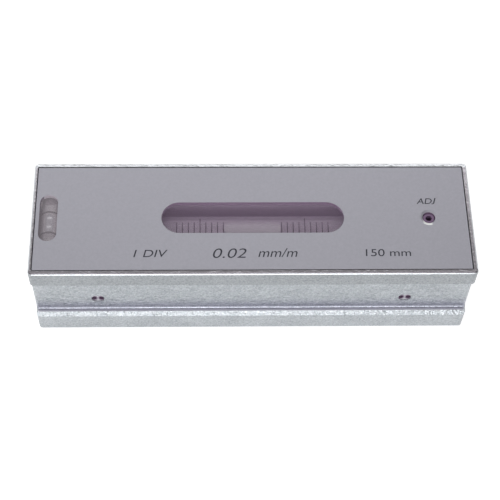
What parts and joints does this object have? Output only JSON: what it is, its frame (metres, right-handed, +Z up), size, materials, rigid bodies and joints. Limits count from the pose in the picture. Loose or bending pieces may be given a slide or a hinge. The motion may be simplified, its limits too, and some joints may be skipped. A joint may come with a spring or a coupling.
{
  "type": "precision machinist level",
  "caption": "Flat bench precision level: I-section cast-iron body with a V-grooved base, main vial on an adjustable cradle under a windowed plate, and a small cross vial.",
  "frame": {"origin": "middle of the ground base, on the plane the level rests on", "axes": "+X along the level towards the adjusting screw, +Y across it towards the back, +Z up"},
  "size_m": [0.15, 0.0446, 0.038],
  "materials": {
    "cast_iron": "fine-ground and plated, pale satin grey with a faint pebbled grain",
    "plate": "satin anodised, pale lilac grey",
    "window_pane": "clear, polished",
    "vial_glass": "clear, ground inside",
    "plug": "cemented plug",
    "spirit": "clear spirit, faintly tinted",
    "bubble": "air",
    "cradle_metal": "milled, satin",
    "plaster": "set plaster, matt",
    "steel": "machined",
    "spring_steel": "drawn wire",
    "dark_steel": "blackened key-end screw",
    "brass": "turned"
  },
  "bodies": {
    "body": {"level_body": "cast_iron", "cover_plate": "plate", "main_window": "window_pane", "cross_window": "window_pane", "cross_vial": "vial_glass", "cross_plug_front": "plug", "cross_plug_rear": "plug", "cross_spirit": "spirit", "cross_bed_front": "plaster", "cross_bed_rear": "plaster", "pivot_screw_front": "dark_steel", "pivot_screw_rear": "dark_steel", "guide_screw_front": "dark_steel", "guide_screw_rear": "dark_steel", "adjuster_bridge": "steel", "bridge_screw_front": "steel", "bridge_screw_rear": "steel", "backlash_spring": "spring_steel"},
    "cradle": {"vial_carrier": "cradle_metal", "main_vial": "vial_glass", "vial_plug_left": "plug", "vial_plug_right": "plug", "main_spirit": "spirit", "adjuster_nut": "brass", "vial_bed_left": "plaster", "vial_bed_right": "plaster"},
    "adjuster": {"adjusting_screw": "dark_steel", "retaining_clip": "spring_steel"},
    "main_bubble": {"main_bubble": "bubble"},
    "cross_bubble": {"cross_bubble": "bubble"}
  },
  "joints": [
    {"name": "adjusting_screw_turn", "type": "hinge", "parent": "body", "child": "adjuster", "pos_m": [0.0601, 0, 0.029], "axis": [0, 0, 1], "range_deg": [-180, 180]},
    {"name": "cradle_tilt", "type": "hinge", "parent": "body", "child": "cradle", "pos_m": [-0.0533, 0, 0.01635], "axis": [0, -1, 0], "range_deg": [-0.126, 0.126], "stiffness_Nm_per_rad": 12, "deforming": ["backlash_spring"]},
    {"name": "main_bubble_run", "type": "slide", "parent": "cradle", "child": "main_bubble", "axis": [1, 0, 0], "range_m": [-0.026, 0.026], "stiffness_N_per_m": 0.02},
    {"name": "cross_bubble_run", "type": "slide", "parent": "body", "child": "cross_bubble", "axis": [0, 1, 0], "range_m": [-0.004, 0.004], "stiffness_N_per_m": 0.02}
  ],
  "couplings": [
    {"joint": "adjusting_screw_turn", "follows": "cradle_tilt", "ratio": 1425}
  ]
}
